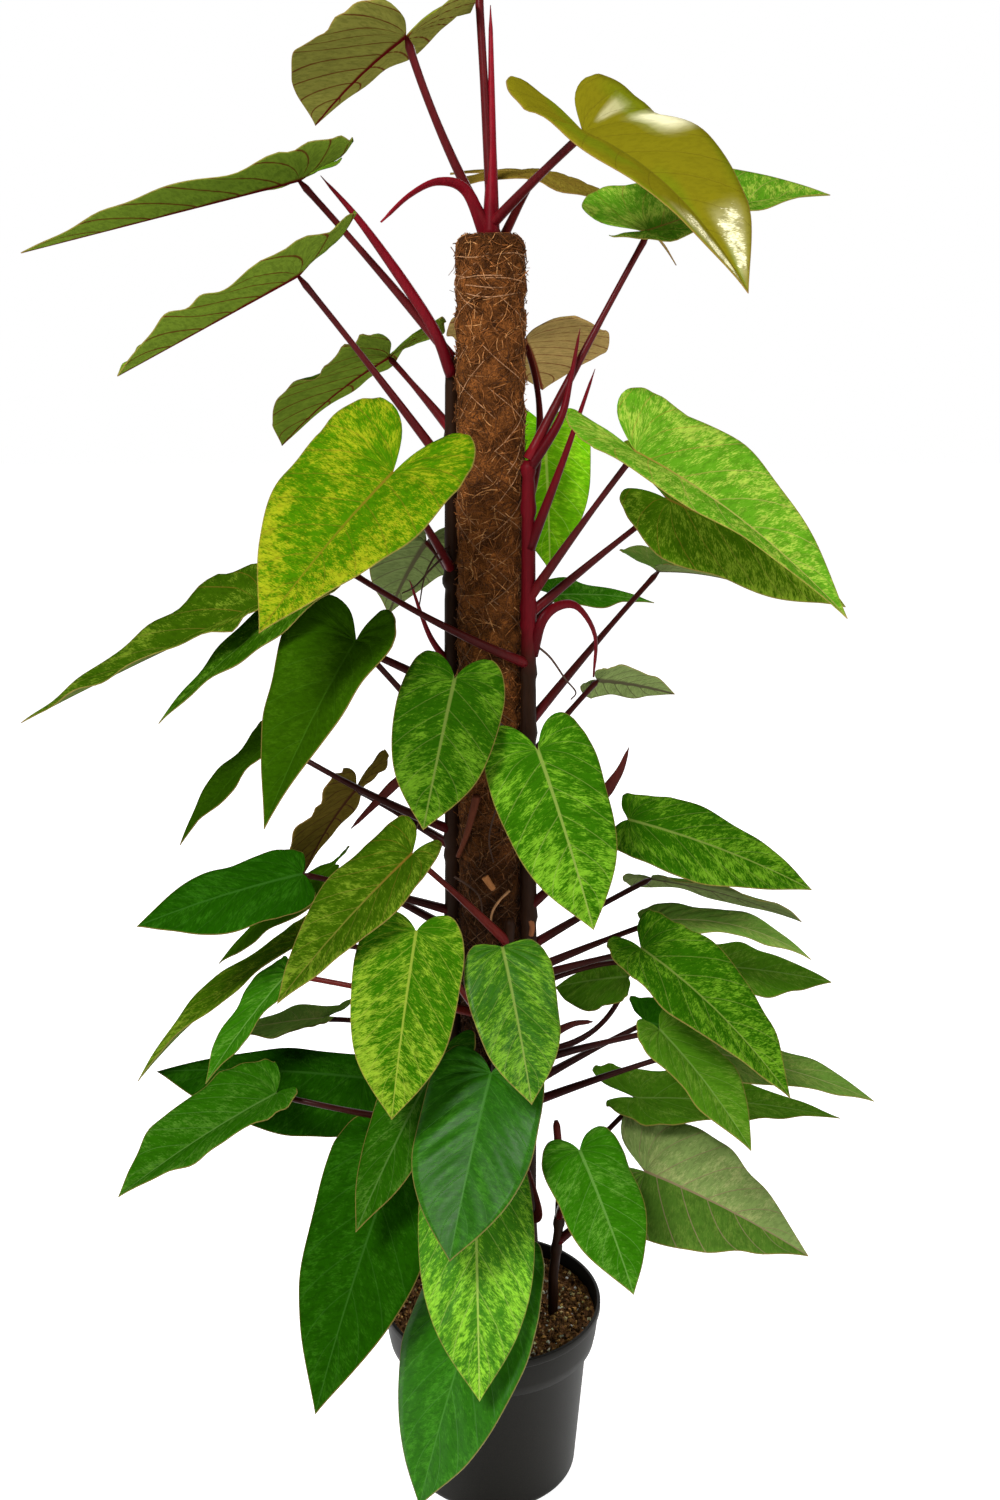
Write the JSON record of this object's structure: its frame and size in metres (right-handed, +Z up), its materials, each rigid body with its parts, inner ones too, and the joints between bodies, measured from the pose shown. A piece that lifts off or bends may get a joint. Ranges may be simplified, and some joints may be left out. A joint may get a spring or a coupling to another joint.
{
  "type": "potted painted lady philodendron",
  "caption": "Climbing aroid house plant with marbled heart-shaped leaves on dark red stalks, tied to a coir pole in a round nursery pot of peat.",
  "frame": {"origin": "middle of the flat underside of the pot", "axes": "+Z up along the pole, -Y towards the side that the leaves face most, +X to the right as seen from that side"},
  "size_m": [0.8004, 0.4654, 1.4606],
  "materials": {
    "pot_plastic": "matte",
    "peat": "matte",
    "stake_wood": "matte",
    "coir": "matte",
    "stem": "satin",
    "leaf_young": "satin",
    "leaf_marbled": "satin",
    "leaf_green": "satin"
  },
  "bodies": {
    "root": {"pot": "pot_plastic", "soil": "peat", "pole_core": "stake_wood", "coir_sleeve": "coir", "stem_back": "stem", "stem_right": "stem", "stem_left": "stem", "stem_front": "stem", "stem_side": "stem", "blade_01": "leaf_young", "blade_02": "leaf_young", "blade_03": "leaf_young", "blade_04": "leaf_marbled", "blade_05": "leaf_young", "blade_06": "leaf_young", "blade_07": "leaf_young", "blade_08": "leaf_young", "blade_09": "leaf_young", "blade_10": "leaf_marbled", "blade_11": "leaf_marbled", "blade_12": "leaf_green", "blade_13": "leaf_green", "blade_14": "leaf_green", "blade_15": "leaf_marbled", "blade_16": "leaf_green", "blade_17": "leaf_marbled", "blade_18": "leaf_marbled", "blade_19": "leaf_marbled", "blade_22": "leaf_green", "blade_23": "leaf_green", "blade_24": "leaf_marbled", "blade_25": "leaf_green", "blade_26": "leaf_green", "blade_27": "leaf_green", "blade_28": "leaf_marbled", "blade_29": "leaf_green", "blade_30": "leaf_green", "blade_32": "leaf_green", "blade_33": "leaf_green", "blade_34": "leaf_marbled", "blade_35": "leaf_marbled", "blade_36": "leaf_marbled", "blade_37": "leaf_green", "blade_38": "leaf_marbled", "blade_39": "leaf_marbled", "blade_40": "leaf_green", "blade_42": "leaf_green", "blade_43": "leaf_green", "blade_45": "leaf_green", "blade_46": "leaf_green", "blade_47": "leaf_green", "blade_48": "leaf_green", "blade_49": "leaf_green", "blade_52": "leaf_green", "blade_53": "leaf_marbled", "blade_54": "leaf_green", "blade_55": "leaf_green", "blade_56": "leaf_marbled", "blade_57": "leaf_green", "blade_58": "leaf_green"}
  },
  "joints": []
}
